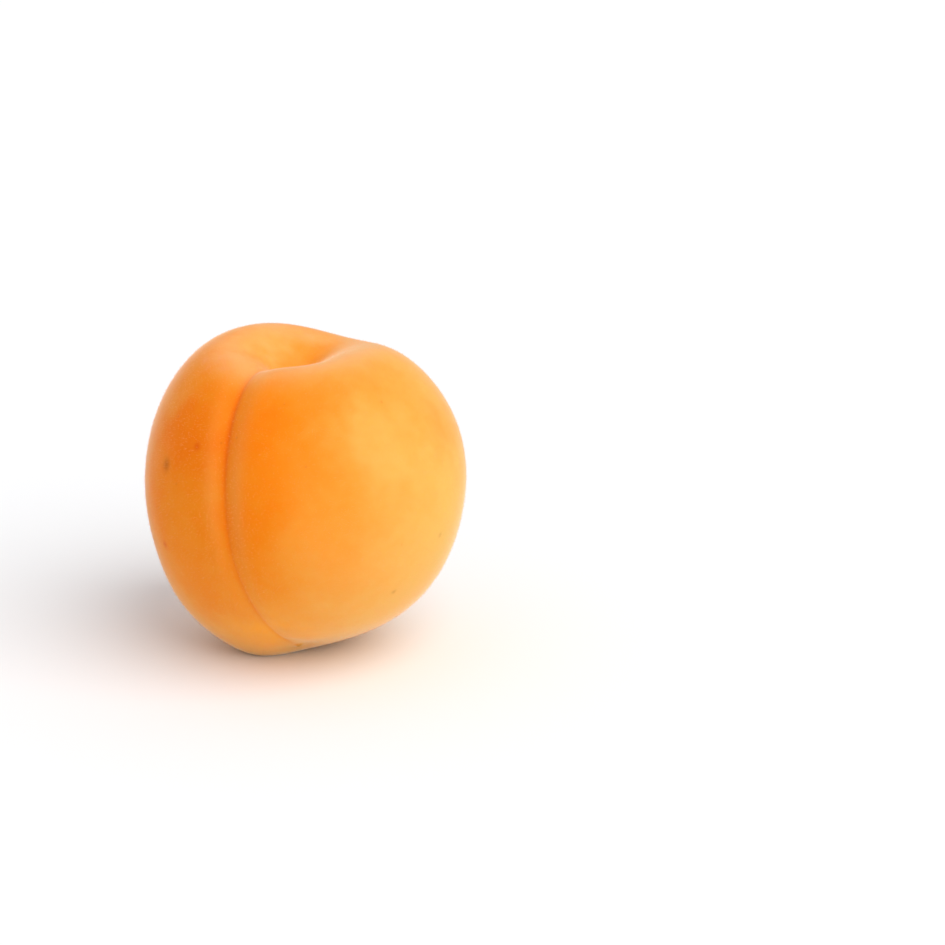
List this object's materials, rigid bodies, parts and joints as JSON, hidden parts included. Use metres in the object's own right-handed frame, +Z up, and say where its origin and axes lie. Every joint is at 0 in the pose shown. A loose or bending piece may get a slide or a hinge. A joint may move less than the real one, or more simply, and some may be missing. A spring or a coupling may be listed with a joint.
{
  "type": "apricot",
  "caption": "Whole ripe apricot without its stalk: a rounded stone fruit with a suture groove and a stalk bowl, resting on a small flat spot.",
  "frame": {"origin": "middle of the small flat spot that the fruit rests on", "axes": "+Z up from the surface towards the stalk end; -Y towards the side that shows the suture; +X towards the fuller cheek"},
  "size_m": [0.0477, 0.0491, 0.0472],
  "materials": {
    "skin": "matte"
  },
  "bodies": {
    "root": {"apricot": "skin"}
  },
  "joints": []
}
